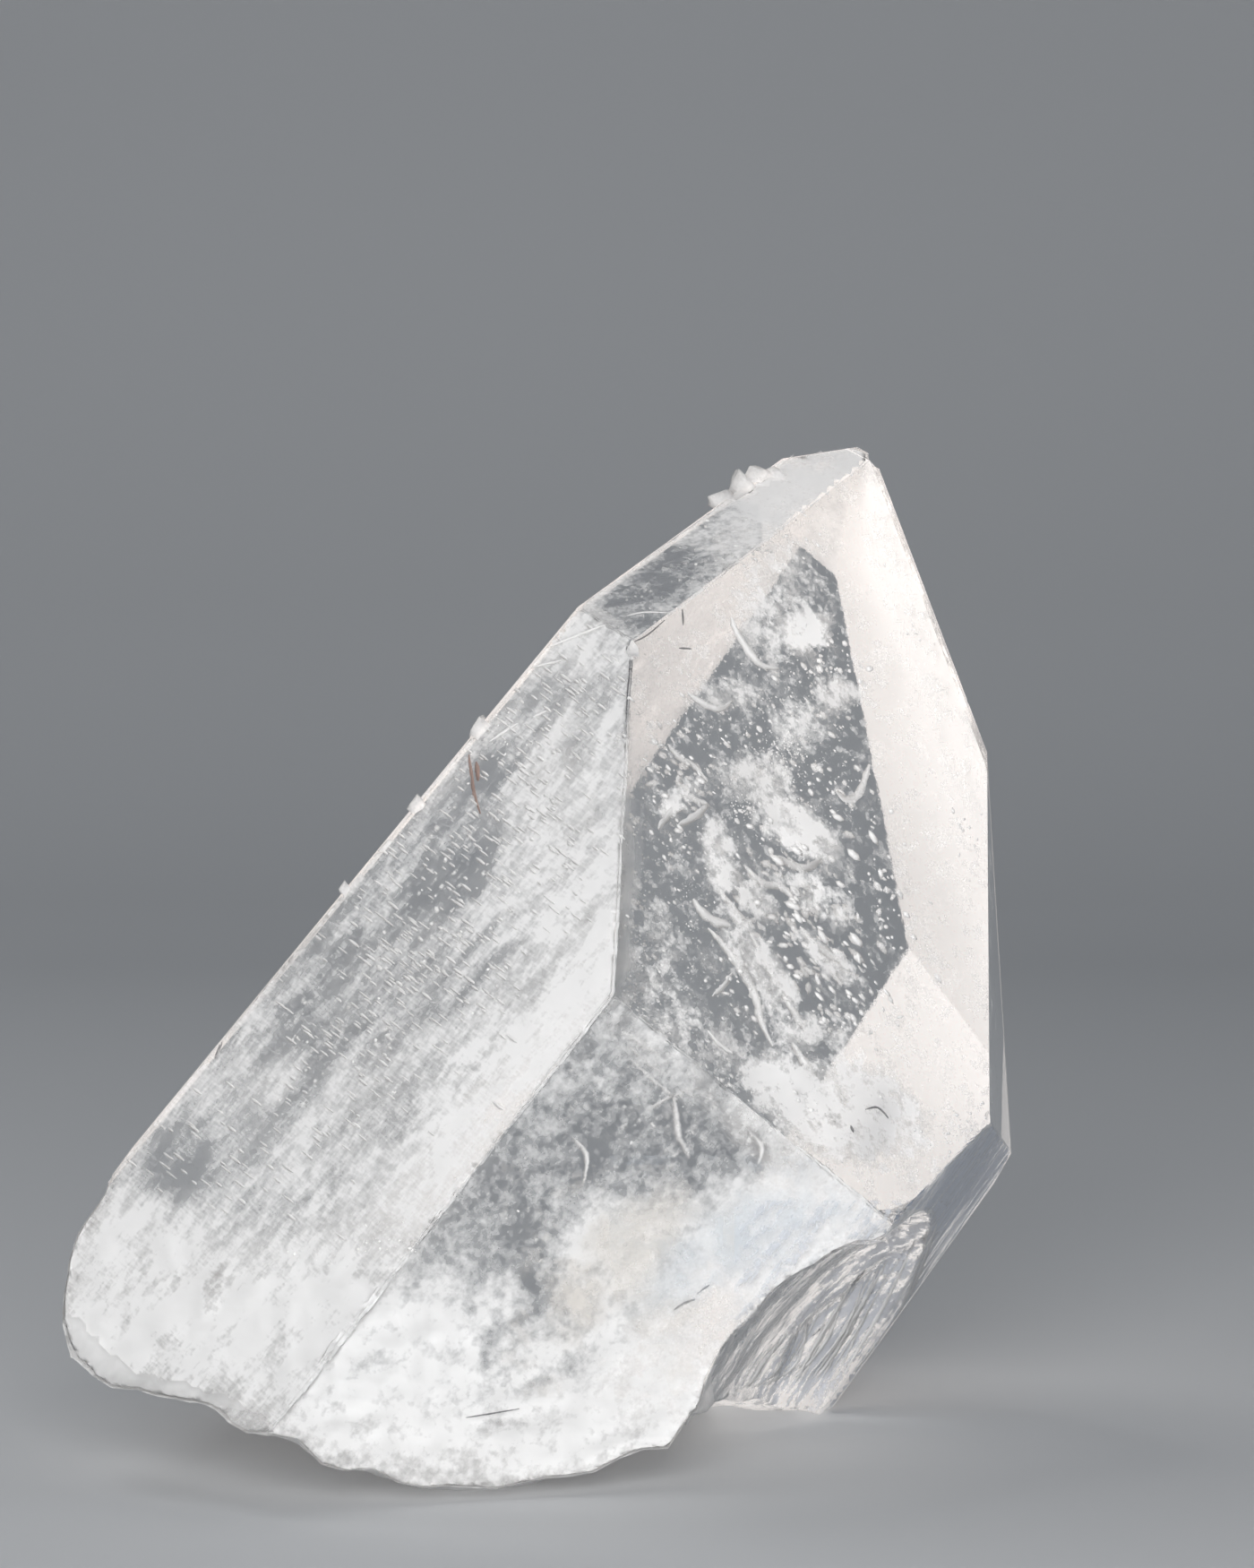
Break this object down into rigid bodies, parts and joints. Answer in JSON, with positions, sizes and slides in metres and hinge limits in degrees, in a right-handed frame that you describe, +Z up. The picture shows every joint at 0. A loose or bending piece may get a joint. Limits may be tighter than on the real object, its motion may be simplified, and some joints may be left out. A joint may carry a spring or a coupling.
{
  "type": "quartz crystal",
  "caption": "Clear to milky quartz crystal: a thick leaning six-sided prism with a chisel-like point, veils and flecks inside, and a broken foot that it rests on.",
  "frame": {"origin": "centre of the bounding box in X and Y, on the plane that the crystal rests on", "axes": "+Z up from the table, +X to the right of the front view towards the side the crystal leans to, +Y away from the viewer of the front"},
  "size_m": [0.0752, 0.0666, 0.08],
  "materials": {
    "quartz": "natural faces, clear to milky"
  },
  "bodies": {
    "root": {"quartz_crystal": "quartz"}
  },
  "joints": []
}
